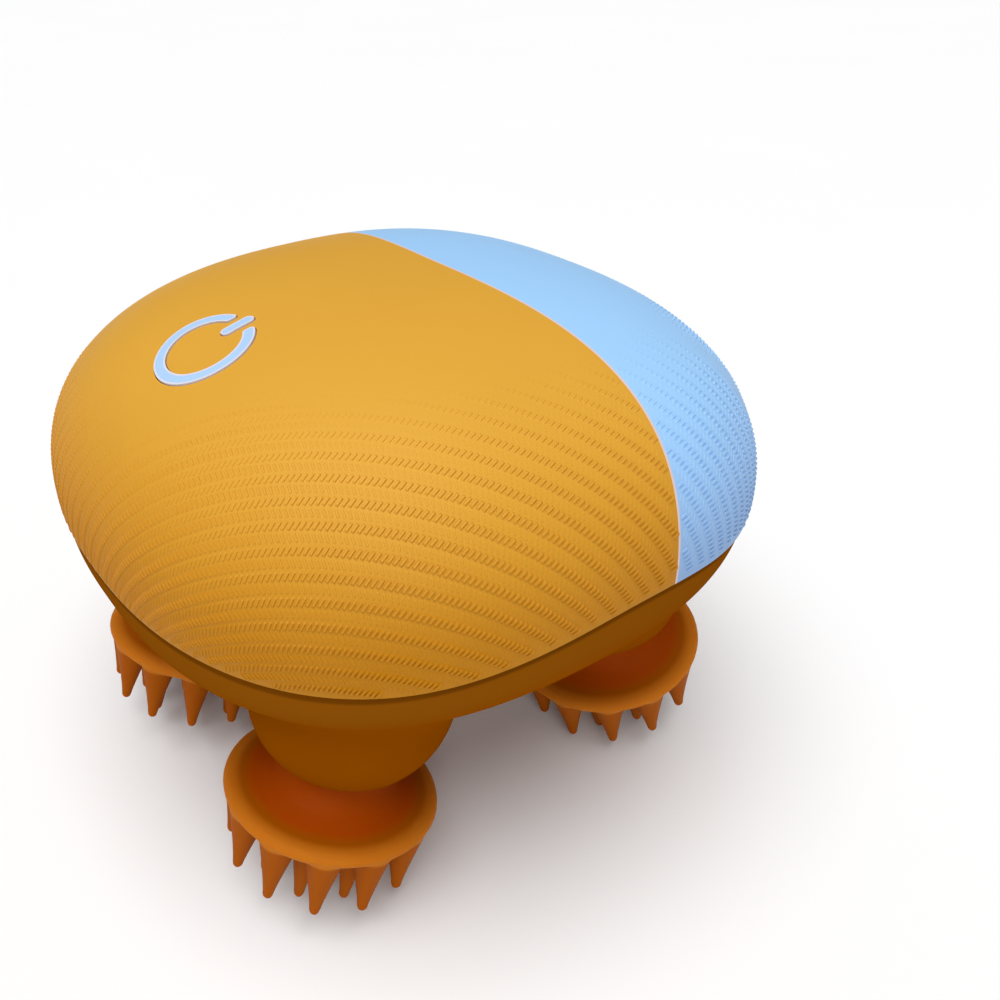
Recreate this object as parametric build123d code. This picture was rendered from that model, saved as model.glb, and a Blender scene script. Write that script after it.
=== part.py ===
from build123d import *
import os
from math import acos, atan2, cos, degrees, pi, radians, sin, sqrt

# Electric scalp massager with four counter-rotating claw heads. Millimetres.
# +X runs from the button end to the blue end, +Z is up, and z = 0 is the surface under the finger tips.
# Left is the button end (-X), right is the blue end (+X), front is -Y and rear is +Y.

# Housing outline: a rounded square in plan, domed above the parting line and a shallow bowl below it
half_length = 55.2
half_width = 56.7
dome_rise = 33.1
squareness = 2.44
rim_height = 1.6
dome_fullness = 2.2528
dome_shoulder = 2.3872
bowl_depth = 14.0
bowl_inset = 12.0
parting_mean = 0.6
parting_swing = 1.9
parting_period = 84.0
parting_slope = 0.015

# Walls
cover_thickness = 1.4
shell_thickness = 2.0
lower_step = 0.6
lower_thickness = 2.2
divider_width = 0.6
divider_middle = 7.8
divider_sweep = 3.3
divider_turn = 40.0

# Legs and drive axes: the left pair leans to the left, the right pair to the right
leg_lean = 14.6
leg_x = 31.5
leg_y = 25.0
brim_drop = 41.4
leg_ball = 16.5
leg_ball_height = 21.0
leg_foot = 8.2
cup_radius = 8.9
cup_depth = 2.2
tube_radius = 6.5
tube_bore = 4.0
tube_top = 20.0
seal_height = 2.3

# Claw heads: heights are along the leaning axis, from the widest circle of the brim
brim_radius = 18.0
stem_radius = 7.4
stem_height = 9.5
finger_root = 2.7
finger_tip = 0.9
outer_fingers = 12
outer_root_circle = 14.4
outer_tip_circle = 15.3
outer_length = 13.0
inner_fingers = 8
inner_circle = 9.8
inner_length = 15.8
web_level = -1.2
core_radius = 5.0
core_floor = 0.8
head_turns = {("left", "front"): 25, ("right", "front"): 18, ("left", "rear"): 2, ("right", "rear"): 10}

# Geared drive, one module for each pair of legs
tooth_module = 1.0
output_teeth = 20
idler_teeth = 15
pressure_angle = 20.0
addendum = 0.95
dedendum = 1.25
backlash = 0.14
gear_floor = 37.0
gear_thickness = 4.0
base_bottom = 34.5
plate_thickness = 2.0
lid_bottom = 41.6
lid_boss_height = 1.6
gear_screw_radius = 0.9
gear_screw_clearance = 0.25
gear_screw_head = 1.2
gear_screw_length = 14.0
plate_half_width = 11.3
pillar_x = 9.0
pillar_y = 14.2
pillar_radius = 2.0
drive_shaft_radius = 2.0
shaft_flat = 1.5
motor_shaft_radius = 1.5
idler_pin_radius = 1.5
running_gap = 0.06
gearhead_radius = 8.0
gearhead_length = 9.0
motor_radius = 7.7
motor_length = 13.4

# Power key, its switch, the battery and the charging board
key_x = -32.9
key_ring_outer = 7.9
key_ring_inner = 6.0
key_bar_start = 3.2
key_bar_end = 8.7
key_ring_gap = 2.35
key_end_round = 0.6
key_stroke_gap = 0.14
key_plate_radius = 10.3
key_proud = 0.2
battery_radius = 9.0
battery_length = 65.0
board_thickness = 1.2
switch_board_top = -8.6
plunger_top = -4.2
board_post_y = 12.2
board_post_radius = 1.8
board_pilot = 0.8
post_radius = 3.2
screw_radius = 1.25
screw_clearance = 0.25
counterbore_radius = 2.6
counterbore_depth = 2.4
port_width = 10.4
port_height = 4.6
port_start = 45.0
port_end = 60.0
plug_width = 15.0
plug_height = 8.6
plug_flange = 1.1

os.makedirs("parts", exist_ok=True)


# ---- Places ---------------------------------------------------------------------------------

def finger_ring(count, turn):
    return [turn + i * 360 / count for i in range(count)]


def drop_of_finger(radius, length, angle_from_inner_side):
    reach = (length - finger_tip) * cos(radians(leg_lean))
    return reach + radius * sin(radians(leg_lean)) * cos(radians(angle_from_inner_side)) + finger_tip


def lowest_drop():
    drops = []
    for (side, _), turn in head_turns.items():
        inner_side = 0 if side == "left" else 180
        for angle in finger_ring(inner_fingers, turn + 15):
            drops.append(drop_of_finger(inner_circle, inner_length, angle - inner_side))
        for angle in finger_ring(outer_fingers, turn):
            drops.append(drop_of_finger(outer_tip_circle, outer_length, angle - inner_side))
    return max(drops)


brim_z = lowest_drop()
parting_z = brim_z + brim_drop
sides = {"left": -1, "right": 1}
rows = {"front": -1, "rear": 1}


def module_place(side):
    """Frame of one drive module: its Z axis runs up along the leaning legs, from the level of the brims."""
    return Location((sides[side] * leg_x, 0, brim_z), (0, -sides[side] * leg_lean, 0))


def leg_place(side, row):
    return module_place(side) * Location((0, rows[row] * leg_y, 0))


def save(shape, name):
    shape.label = name
    export_step(shape, f"parts/{name}.step")


# ---- Forms the housing parts share -----------------------------------------------------------

def plan_ring(half_x, half_y, z):
    """Rounded-square outline of the housing at one height."""
    points = []
    for i in range(24):
        t = 2 * pi * i / 24
        reach = abs(cos(t) / half_x) ** squareness + abs(sin(t) / half_y) ** squareness
        radius = reach ** (-1 / squareness)
        points.append((radius * cos(t), radius * sin(t), z))
    return Wire([Spline(points, periodic=True)])


def dome_form(inset):
    """Solid dome, inset from the outer surface, running down past the parting line."""
    half_x, half_y = half_length - inset, half_width - inset
    rings = [plan_ring(half_x * 0.975, half_y * 0.975, parting_z - 8)]
    rings.append(plan_ring(half_x * 0.995, half_y * 0.995, parting_z - 2))
    for turn in (0, 14, 28, 41, 53, 64, 74, 82, 87):
        scale = cos(radians(turn)) ** (2 / dome_shoulder)
        rise = (dome_rise - inset - rim_height) * sin(radians(turn)) ** (2 / dome_fullness)
        rings.append(plan_ring(half_x * scale, half_y * scale, parting_z + rim_height + rise))
    return Solid.make_loft(rings + [Vertex(0, 0, parting_z + dome_rise - inset)])


def dome_height(x, y):
    scale = (abs(x / half_length) ** squareness + abs(y / half_width) ** squareness) ** (1 / squareness)
    turn = acos(scale ** (dome_shoulder / 2))
    return parting_z + rim_height + (dome_rise - rim_height) * sin(turn) ** (2 / dome_fullness)


def bowl_form(inset, floor_lift=0.0):
    """Shallow bowl under the parting line, with a flat floor."""
    depth = bowl_depth - floor_lift
    rings = [plan_ring(half_length - inset, half_width - inset, parting_z + 6)]
    for turn in (0, 20, 40, 60, 76, 90):
        pull = inset + bowl_inset * (1 - cos(radians(turn)))
        level = parting_z - depth * sin(radians(turn))
        rings.append(plan_ring(half_length - pull, half_width - pull, level))
    return Solid.make_loft(rings)


def taper_form(inset):
    """Envelope that trims the legs where they rise to meet the rim."""
    top = plan_ring(half_length - inset - 0.4, half_width - inset - 0.4, parting_z + 5)
    low = plan_ring(half_length - inset - 7.0, half_width - inset - 7.0, parting_z - 14)
    foot = plan_ring(half_length - inset - 9.0, half_width - inset - 9.0, parting_z - 48)
    return Solid.make_loft([top, low, foot])


def parting_level(x):
    return parting_z + parting_mean + parting_swing * cos(2 * pi * x / parting_period) + parting_slope * x


def above_parting(offset=0.0):
    """Everything above the wavy parting line, which dips over the legs."""
    reach, top = 66, parting_z + 90
    wave = Spline([(x, parting_level(x) + offset) for x in range(-reach, reach + 1, 11)])
    edge = wave + Polyline(wave @ 1, (reach, top), (-reach, top), wave @ 0)
    return extrude(Plane.XZ * make_face(edge), 75, both=True)


def beyond_divider(offset=0.0):
    """Everything on the blue side of the curved colour divider."""
    reach, far = 66, 90

    def divider_x(y):
        share = (y / divider_turn) ** 2
        return divider_middle + divider_sweep * (2 * share - share ** 2) + offset

    curve = Spline([(divider_x(y), y) for y in range(-reach, reach + 1, 12)])
    edge = curve + Polyline(curve @ 1, (far, reach), (far, -reach), curve @ 0)
    return extrude(make_face(edge), 200)


# ---- Covers, shells and seals ----------------------------------------------------------------

slope_step = 0.5
key_rise = dome_height(key_x + slope_step, 0) - dome_height(key_x - slope_step, 0)
key_slope = atan2(key_rise, 2 * slope_step)
key_place = Location((key_x, 0, dome_height(key_x, 0)), (0, -degrees(key_slope), 0))


def power_symbol(grow=0.0):
    """Open ring with a bar in its gap, as a prism along the key's axis."""
    ring = Circle(key_ring_outer) - Circle(key_ring_inner)
    ring -= Pos(key_ring_outer, 0) * Rectangle(2 * key_ring_outer, 2 * key_ring_gap)
    ring = fillet(ring.vertices(), key_end_round)
    bar_width = key_ring_outer - key_ring_inner
    bar = SlotOverall(key_bar_end - key_bar_start, bar_width)
    symbol = ring + Pos((key_bar_start + key_bar_end) / 2, 0) * bar
    if grow:
        symbol = offset(symbol, grow)
    return key_place * extrude(symbol, 8, both=True)


def key_prism(radius):
    return key_place * Cylinder(radius, 16)


def make_covers():
    outer = dome_form(0)
    skin = (outer - dome_form(cover_thickness)) & above_parting()
    orange = skin - beyond_divider(-divider_width / 2)
    blue = skin & beyond_divider(divider_width / 2)
    divider = (skin & beyond_divider(-divider_width / 2)) - beyond_divider(divider_width / 2)
    orange -= power_symbol(key_stroke_gap)
    return orange, blue, divider


post_places = [(0, 40), (0, -40), (-38.5, 0), (38.5, 0)]


def make_top_shell():
    inner = dome_form(cover_thickness + shell_thickness)
    shell = (dome_form(cover_thickness) - inner) & above_parting()
    shell -= key_prism(key_plate_radius + 0.5)
    # Screw posts run down from the dome to the parting line, and two short ones carry the switch board
    for x, y in post_places:
        post = Pos(x, y, parting_z) * Cylinder(post_radius, 80)
        shell += post & inner & above_parting()
    for y in (-board_post_y, board_post_y):
        place = key_place * Pos(0, y, 0)
        board_post = place * stand(board_post_radius, switch_board_top, 0)
        shell += (board_post & inner) - place * stand(board_pilot, switch_board_top - 1, -3.9)
    for x, y in post_places:
        shell -= Pos(x, y, parting_z) * Cylinder(screw_radius, 26)
    return shell


def leg_profile(shrink, foot):
    """Half section of a leg: a ball-shaped bowl that flares out to meet the housing."""
    ball = leg_ball - shrink
    foot_radius = sqrt(ball ** 2 - (leg_ball_height - foot) ** 2)
    middle = leg_ball_height - ball * sin(radians(31))
    belly = (ball * cos(radians(31)), middle)
    side = ThreePointArc((foot_radius, foot), belly, (ball, leg_ball_height))
    flare = Spline([side @ 1, (ball + 1.8, 28.5), (ball + 6.5, 35.5)], tangents=[(0, 1), (0.75, 1)])
    close = Polyline(flare @ 1, (ball + 6.5, 40), (0, 40), (0, foot), side @ 0)
    return revolve(Plane.XZ * make_face(side + flare + close), Axis.Z)


def each_leg():
    return [(side, row) for side in sides for row in rows]


def lower_form(inset, shrink, floor_lift, foot):
    """Bowl and four legs in one form, either the outside or the hollow inside."""
    form = bowl_form(inset, floor_lift)
    envelope = taper_form(inset)
    leg = leg_profile(shrink, foot)
    for side, row in each_leg():
        form += (leg_place(side, row) * leg) & envelope
    return form


def stand(radius, bottom, top):
    """Upright cylinder between two heights of the frame it is placed in."""
    return Pos(0, 0, (bottom + top) / 2) * Cylinder(radius, top - bottom)


def port_prism(width, height, start, end):
    """Stadium-shaped prism along +X for the charging port."""
    slot = Plane.YZ * SlotOverall(width, height)
    return Pos(start, 0, port_z) * extrude(slot, end - start)


port_z = parting_z - 5.6
charge_board_z = parting_z - 7.8
charge_post_x = 44.0
charge_post_y = 9.0
seal_inset = lower_step + 0.9
seal_width = 0.8
seal_depth = 0.9


def seal_ring():
    outside = loft_prism(seal_inset)
    return outside - loft_prism(seal_inset + seal_width)


def loft_prism(inset):
    low = plan_ring(half_length - inset, half_width - inset, parting_z - 12)
    high = plan_ring(half_length - inset, half_width - inset, parting_z + 12)
    return Solid.make_loft([low, high], ruled=True)


def make_lower_shell():
    outer = lower_form(lower_step, 0, 0, leg_foot)
    hollow_foot = leg_foot + cup_depth + lower_thickness
    hollow = lower_form(lower_step + lower_thickness, lower_thickness, lower_thickness, hollow_foot)
    shell = outer - hollow
    # Bearing tubes and cups in the legs
    for side, row in each_leg():
        place = leg_place(side, row)
        tube = place * stand(tube_radius, leg_foot + cup_depth, tube_top)
        shell += tube
        shell -= place * stand(tube_bore, leg_foot - 1, tube_top + 1)
        shell -= place * stand(cup_radius, leg_foot - 1, leg_foot + cup_depth)
    # Posts under the gearbox plates
    for side in sides:
        for x, y in pillar_places():
            place = module_place(side) * Pos(x, y, 0)
            shell += (place * stand(pillar_radius, 16, base_bottom)) & outer
            shell -= place * stand(gear_screw_radius, 27, base_bottom + 1)
    # Screw tubes with counterbores in the belly
    floor_z = parting_z - bowl_depth
    for x, y in post_places:
        shell += Pos(x, y, 0) * stand(post_radius, floor_z + 0.5, parting_level(x) - 2)
    for x, y in post_places:
        shell += (Pos(x, y, 0) * stand(post_radius, parting_z - 4, parting_z + 4)) & outer
    shell -= above_parting()
    for x, y in post_places:
        shell -= Pos(x, y, 0) * stand(screw_radius + screw_clearance, floor_z - 1, parting_z + 6)
        shell -= Pos(x, y, 0) * stand(counterbore_radius, floor_z - 1, floor_z + counterbore_depth)
    shell -= seal_ring() - extrude_below(-seal_depth)
    for y in (-charge_post_y, charge_post_y):
        shell += Pos(charge_post_x, y, 0) * stand(1.6, floor_z + 1, charge_board_z - board_thickness / 2)
    shell -= port_prism(port_width, port_height, port_start, port_end)
    recess = port_prism(plug_width, plug_height, port_start, port_end)
    shell -= recess - bowl_form(lower_step + plug_flange + 0.1)
    return shell


def extrude_below(offset):
    """Everything under the parting line moved by offset."""
    return Pos(0, 0, 50) * Box(140, 150, 300) - above_parting(offset)


def make_seal():
    return (seal_ring() & above_parting(-seal_depth)) - above_parting()


# ---- Claw heads ------------------------------------------------------------------------------

def finger(length, lean):
    """Tapered silicone finger with a round tip, pointing down."""
    side = Line((finger_root, 0), (finger_tip, -length + finger_tip))
    tip = RadiusArc(side @ 1, (0, -length), finger_tip)
    close = Polyline((0, -length), (0, 0), (finger_root, 0))
    return Rot(0, lean, 0) * revolve(Plane.XZ * make_face(side + tip + close), Axis.Z)


def make_claw_head():
    bottom = Line((0, web_level), (16.2, web_level))
    brim = ThreePointArc(bottom @ 1, (brim_radius, 0.1), (17.0, 1.4))
    web = Line(brim @ 1, (14.4, 2.1))
    neck = [web @ 1, (10.4, 3.1), (8.4, 5.6), (stem_radius, stem_height)]
    trumpet = Spline(neck, tangents=[(-1, 0.25), (-0.1, 1)])
    pocket = [(core_radius, stem_height), (core_radius, core_floor), (0, core_floor)]
    close = Polyline(trumpet @ 1, *pocket, bottom @ 0)
    head = revolve(Plane.XZ * make_face(bottom + brim + web + trumpet + close), Axis.Z)
    root = web_level + 0.3
    outward = degrees(atan2(outer_tip_circle - outer_root_circle, outer_length))
    fingers = []
    for angle in finger_ring(outer_fingers, 0):
        place = Rot(0, 0, angle) * Pos(outer_root_circle, 0, root)
        fingers.append(place * finger(outer_length + root, -outward))
    for angle in finger_ring(inner_fingers, 15):
        fingers.append(Rot(0, 0, angle) * Pos(inner_circle, 0, root) * finger(inner_length + root, 0))
    fingers.append(Pos(0, 0, root) * finger(inner_length + root, 0))
    return head.fuse(*fingers)


def shaft_section(radius, flat):
    """Round shaft with one flat, the key that turns the head."""
    return Circle(radius) - Pos(flat + radius, 0) * Rectangle(2 * radius, 4 * radius)


def make_head_core():
    core = stand(core_radius, core_floor, stem_height)
    bore = shaft_section(drive_shaft_radius + running_gap, shaft_flat + running_gap)
    return core - Pos(0, 0, 1.6) * extrude(bore, stem_height)


# ---- Gear trains -----------------------------------------------------------------------------

def pillar_places():
    return [(x, y) for x in (-pillar_x, pillar_x) for y in (-pillar_y, pillar_y)]


def involute(angle, base_radius):
    """Point on the involute of the base circle, unrolled by an angle in radians."""
    x = base_radius * (cos(angle) + angle * sin(angle))
    y = base_radius * (sin(angle) - angle * cos(angle))
    return x, y


def make_gear(teeth, bore, first_tooth):
    """Spur gear with involute flanks, one tooth centred on first_tooth degrees."""
    pitch_radius = tooth_module * teeth / 2
    base_radius = pitch_radius * cos(radians(pressure_angle))
    tip_radius = pitch_radius + addendum * tooth_module
    root_radius = pitch_radius - dedendum * tooth_module
    start_radius = max(base_radius, root_radius)
    pitch_roll = sqrt((pitch_radius / base_radius) ** 2 - 1)
    pitch_turn = pitch_roll - atan2(pitch_roll, 1)
    half_tooth = pi / (2 * teeth) - backlash / 2 / pitch_radius + pitch_turn
    start_roll = sqrt((start_radius / base_radius) ** 2 - 1)
    tip_roll = sqrt((tip_radius / base_radius) ** 2 - 1)
    rolls = [start_roll + (tip_roll - start_roll) * i / 3 for i in range(4)]
    flank = [involute(roll, base_radius) for roll in rolls]

    def turned(point, angle, mirror=1):
        x, y = point[0], mirror * point[1]
        return x * cos(angle) - y * sin(angle), x * sin(angle) + y * cos(angle)

    outline = []
    for i in range(teeth):
        middle = radians(first_tooth) + 2 * pi * i / teeth
        foot_angle = half_tooth
        foot = [turned((root_radius, 0), middle + s * foot_angle) for s in (-1, 1)]
        rise = [turned(p, middle - half_tooth) for p in flank]
        fall = [turned(p, middle + half_tooth, -1) for p in reversed(flank)]
        next_foot = turned((root_radius, 0), middle + 2 * pi / teeth - foot_angle)
        gap_middle = turned((root_radius, 0), middle + pi / teeth)
        outline += [Line(foot[0], rise[0]), Spline(rise), Line(rise[-1], fall[0]), Spline(fall)]
        outline += [Line(fall[-1], foot[1]), ThreePointArc(foot[1], gap_middle, next_foot)]
    face = make_face(Curve() + outline) - Circle(bore)
    return Pos(0, 0, gear_floor) * extrude(face, gear_thickness)


shaft_bore = drive_shaft_radius + running_gap
motor_bore = motor_shaft_radius + running_gap
gear_screw_hole = gear_screw_radius + gear_screw_clearance
drive_y = tooth_module * idler_teeth / 2
output_gap_turn = 180 / output_teeth


def plate_face():
    return Rot(0, 0, 90) * SlotOverall(2 * leg_y + 2 * plate_half_width, 2 * plate_half_width)


def row_sign(side):
    """The motor stands towards the front in the left module and towards the rear in the right one."""
    return -1 if side == "left" else 1


def make_gearbox_base(side):
    sign = row_sign(side)
    plate = Pos(0, 0, base_bottom) * extrude(plate_face(), plate_thickness)
    top = base_bottom + plate_thickness
    for x, y in pillar_places():
        plate += Pos(x, y, 0) * stand(pillar_radius, top, lid_bottom)
        plate -= Pos(x, y, 0) * stand(gear_screw_hole, base_bottom - 1, lid_bottom + 1)
    for y in (-leg_y, leg_y):
        plate -= Pos(0, y, 0) * stand(shaft_bore, base_bottom - 1, top + 1)
    plate -= Pos(0, sign * drive_y, 0) * stand(motor_bore, base_bottom - 1, top + 1)
    plate -= Pos(0, -sign * drive_y, 0) * stand(idler_pin_radius, base_bottom - 1, top + 1)
    return module_place(side) * plate


def make_gearbox_lid(side):
    sign = row_sign(side)
    plate = Pos(0, 0, lid_bottom) * extrude(plate_face(), plate_thickness)
    top = lid_bottom + plate_thickness
    for x, y in pillar_places():
        plate -= Pos(x, y, 0) * stand(gear_screw_hole, lid_bottom - 1, top + 1)
    for y in (-leg_y, leg_y):
        plate += Pos(0, y, 0) * stand(2 * drive_shaft_radius, top, top + lid_boss_height)
        plate -= Pos(0, y, 0) * stand(shaft_bore, lid_bottom - 1, top + 3)
    plate -= Pos(0, sign * drive_y, 0) * stand(motor_bore, lid_bottom - 1, top + 1)
    plate -= Pos(0, -sign * drive_y, 0) * stand(idler_pin_radius, lid_bottom - 1, top + 1)
    return module_place(side) * plate


def make_module(side):
    sign = row_sign(side)
    place = module_place(side)
    toward_drive = -sign * 90
    lid_top = lid_bottom + plate_thickness
    save(make_gearbox_base(side), f"{side}_gearbox_base")
    save(make_gearbox_lid(side), f"{side}_gearbox_lid")
    at_drive = Pos(0, sign * drive_y, 0)
    at_idler = Pos(0, -sign * drive_y, 0)
    # Outputs mesh with the drive gear on one side and with the idler on the other
    near = Pos(0, sign * leg_y, 0) * make_gear(output_teeth, drive_shaft_radius, toward_drive)
    far_turn = -toward_drive + output_gap_turn
    far = Pos(0, -sign * leg_y, 0) * make_gear(output_teeth, drive_shaft_radius, far_turn)
    drive = at_drive * make_gear(idler_teeth, motor_shaft_radius, toward_drive)
    idler = at_idler * make_gear(idler_teeth, idler_pin_radius + running_gap, toward_drive)
    near_row = "front" if sign < 0 else "rear"
    far_row = "rear" if sign < 0 else "front"
    save(place * near, f"{side}_{near_row}_output_gear")
    save(place * far, f"{side}_{far_row}_output_gear")
    save(place * drive, f"{side}_drive_gear")
    save(place * idler, f"{side}_idler_gear")
    pin = at_idler * stand(idler_pin_radius, base_bottom, lid_top)
    save(place * pin, f"{side}_idler_pin")
    motor_shaft = at_drive * stand(motor_shaft_radius, base_bottom + 0.4, lid_top + 6)
    save(place * motor_shaft, f"{side}_motor_shaft")
    gearhead = stand(gearhead_radius, lid_top, lid_top + gearhead_length)
    gearhead -= stand(motor_bore, lid_top - 1, lid_top + 6.5)
    save(place * at_drive * gearhead, f"{side}_gearhead")
    save(place * at_drive * make_motor(lid_top + gearhead_length), f"{side}_motor")


def make_motor(bottom):
    """Flat-sided DC motor with a bearing boss and two terminals on its end cap."""
    can = Pos(0, 0, bottom) * extrude(
        Circle(motor_radius) & Rectangle(2 * motor_radius, 2 * motor_radius - 3.2), motor_length)
    top = bottom + motor_length
    can = chamfer(can.edges().group_by(Axis.Z)[-1], 0.8)
    can += stand(2.4, top, top + 1.2)
    for x in (-5, 5):
        can += Pos(x, 0, top + 1.0) * Box(0.5, 1.6, 2.0)
    return can


def make_output_shaft():
    """Round steel shaft with a flat at the head end."""
    top = lid_bottom + plate_thickness + 1.4
    shaft = stand(drive_shaft_radius, 2.0, top)
    flat_end = Pos(shaft_flat + 2, 0, 0) * Box(4, 8, 2 * (leg_foot + 2.0))
    return chamfer((shaft - flat_end).edges().group_by(Axis.Z)[-1], 0.3)


def pan_screw(shank_radius, head_radius, head_height, length):
    """Pan-head screw standing head down at the origin, shank pointing up."""
    head = stand(head_radius, 0, head_height)
    head = fillet(head.edges().group_by(Axis.Z)[0], 0.5 * head_height)
    socket = Pos(0, 0, 0.3 * head_height) * Box(head_radius * 1.1, 0.5, 0.6 * head_height)
    cross = Pos(0, 0, 0.3 * head_height) * Box(0.5, head_radius * 1.1, 0.6 * head_height)
    return head + stand(shank_radius, head_height, head_height + length) - socket - cross


# ---- Key, electrics and battery --------------------------------------------------------------

def make_power_key():
    """Blue silicone key: the symbol stands through the orange cover, on a plate under it."""
    symbol = power_symbol() & (dome_form(-key_proud) - dome_form(cover_thickness + 0.6))
    plate_skin = dome_form(cover_thickness + 0.12) - dome_form(cover_thickness + 1.4)
    plate = key_prism(key_plate_radius) & plate_skin
    plate = max(plate.solids(), key=lambda s: s.center().Z)
    stem = key_place * stand(1.6, plunger_top + 0.05, -cover_thickness - 0.8)
    return symbol + plate + stem


def make_switch_board():
    middle = switch_board_top - board_thickness / 2
    board = key_place * Pos(0.9, 0, middle) * Box(9.4, 29, board_thickness)
    for y in (-board_post_y, board_post_y):
        board -= key_place * Pos(0, y, middle) * Cylinder(board_pilot, 4)
    return board


def make_battery_holder():
    floor = parting_z - bowl_depth + lower_thickness
    axis_z = floor + battery_radius + 0.8
    cradle = Pos(0, 0, floor + 3.3) * Box(14.5, battery_length + 5, 6.6)
    cradle -= Pos(0, 0, axis_z) * Rot(90, 0, 0) * Cylinder(battery_radius + 0.08, battery_length + 0.2)
    for y in (-1, 1):
        plate = Pos(0, y * (battery_length / 2 + 1.3), floor + 6) * Box(14.5, 2.4, 12)
        cradle += plate
    return cradle


def make_battery():
    floor = parting_z - bowl_depth + lower_thickness
    axis_z = floor + battery_radius + 0.8
    cell = Cylinder(battery_radius, battery_length - 0.9)
    cell = fillet(cell.edges(), 0.6)
    cell += Pos(0, 0, battery_length / 2 - 0.45) * Cylinder(2.9, 0.9)
    return Pos(0, 0, axis_z) * Rot(90, 0, 0) * cell


def make_charge_board():
    board = Pos(43.0, 0, charge_board_z) * Box(9.2, 24, board_thickness)
    board -= Pos(38.5, 0, charge_board_z) * Cylinder(post_radius + 0.4, 5)
    return board


def make_charge_socket():
    """USB-C receptacle on the board's edge: a flattened tube with a tongue."""
    height, width, length = 3.2, 8.9, 6.6
    front = 50.3
    base = charge_board_z + board_thickness / 2
    outside = Plane.YZ * SlotOverall(width, height)
    inside = Plane.YZ * SlotOverall(width - 0.6, height - 0.6)
    shell = extrude(outside, -length) - extrude(inside, -length + 0.8)
    tongue = Pos(-length / 2 - 0.2, 0, 0) * Box(length - 1.2, 6.4, 0.7)
    return Pos(front, 0, base + height / 2) * (shell + tongue)


def make_port_plug():
    """Rubber stopper: a flush flange that follows the shell, and a nose in the port."""
    flange_gap = 0.15
    skin = bowl_form(lower_step) - bowl_form(lower_step + plug_flange)
    flange_width, flange_height = plug_width - 2 * flange_gap, plug_height - 2 * flange_gap
    flange = port_prism(flange_width, flange_height, port_start, port_end) & skin
    nose = port_prism(port_width - 0.2, port_height - 0.2, 51.2, 54) & bowl_form(lower_step + 0.5)
    return flange + nose


# ---- Build -----------------------------------------------------------------------------------

def main():
    orange, blue, divider = make_covers()
    save(orange, "orange_cover")
    save(blue, "blue_cover")
    save(divider, "divider_trim")
    save(make_top_shell(), "top_shell")
    save(make_lower_shell(), "lower_shell")
    save(make_seal(), "shell_seal")

    claw_head = make_claw_head()
    for side, row in each_leg():
        place = leg_place(side, row)
        save(place * Rot(0, 0, head_turns[side, row]) * claw_head, f"{side}_{row}_claw_head")
        save(place * make_head_core(), f"{side}_{row}_head_core")
        save(place * make_output_shaft(), f"{side}_{row}_output_shaft")
    tube_floor = leg_foot + cup_depth
    bush = stand(tube_bore, tube_floor + seal_height + 0.1, tube_top) - stand(shaft_bore, 0, 30)
    lip_seal = stand(tube_bore, tube_floor, tube_floor + seal_height)
    lip_seal -= stand(drive_shaft_radius + 0.02, 0, 30)
    save(Compound([leg_place(*leg) * bush for leg in each_leg()]), "leg_bushes")
    save(Compound([leg_place(*leg) * lip_seal for leg in each_leg()]), "shaft_seals")

    for side in sides:
        make_module(side)
    gear_screw = Rot(180, 0, 0) * pan_screw(
        gear_screw_radius, 2 * gear_screw_radius, gear_screw_head, gear_screw_length)
    gear_screws = []
    for side in sides:
        for x, y in pillar_places():
            head_z = lid_bottom + plate_thickness + gear_screw_head
            gear_screws.append(module_place(side) * Pos(x, y, head_z) * gear_screw)
    save(Compound(gear_screws), "gearbox_screws")
    floor_z = parting_z - bowl_depth
    shell_screw = pan_screw(screw_radius, 2.3, 1.6, 16)
    save(Compound([Pos(x, y, floor_z + 0.8) * shell_screw for x, y in post_places]), "shell_screws")

    save(make_power_key(), "power_key")
    save(make_switch_board(), "switch_board")
    switch = Pos(0, 0, switch_board_top + 1.75) * Box(6, 6, 3.5) - stand(1.75, plunger_top - 3.0, 0)
    save(key_place * switch, "tact_switch")
    save(key_place * stand(1.7, plunger_top - 2.4, plunger_top), "switch_plunger")
    save(make_battery(), "battery")
    save(make_battery_holder(), "battery_holder")
    save(make_charge_board(), "charge_board")
    save(make_charge_socket(), "charge_socket")
    save(make_port_plug(), "port_plug")


main()
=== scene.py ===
from math import acos, asin, atan2, cos, pi, radians, sin, sqrt

import bmesh
import bpy
import numpy as np
from mathutils import Matrix, Vector


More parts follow.
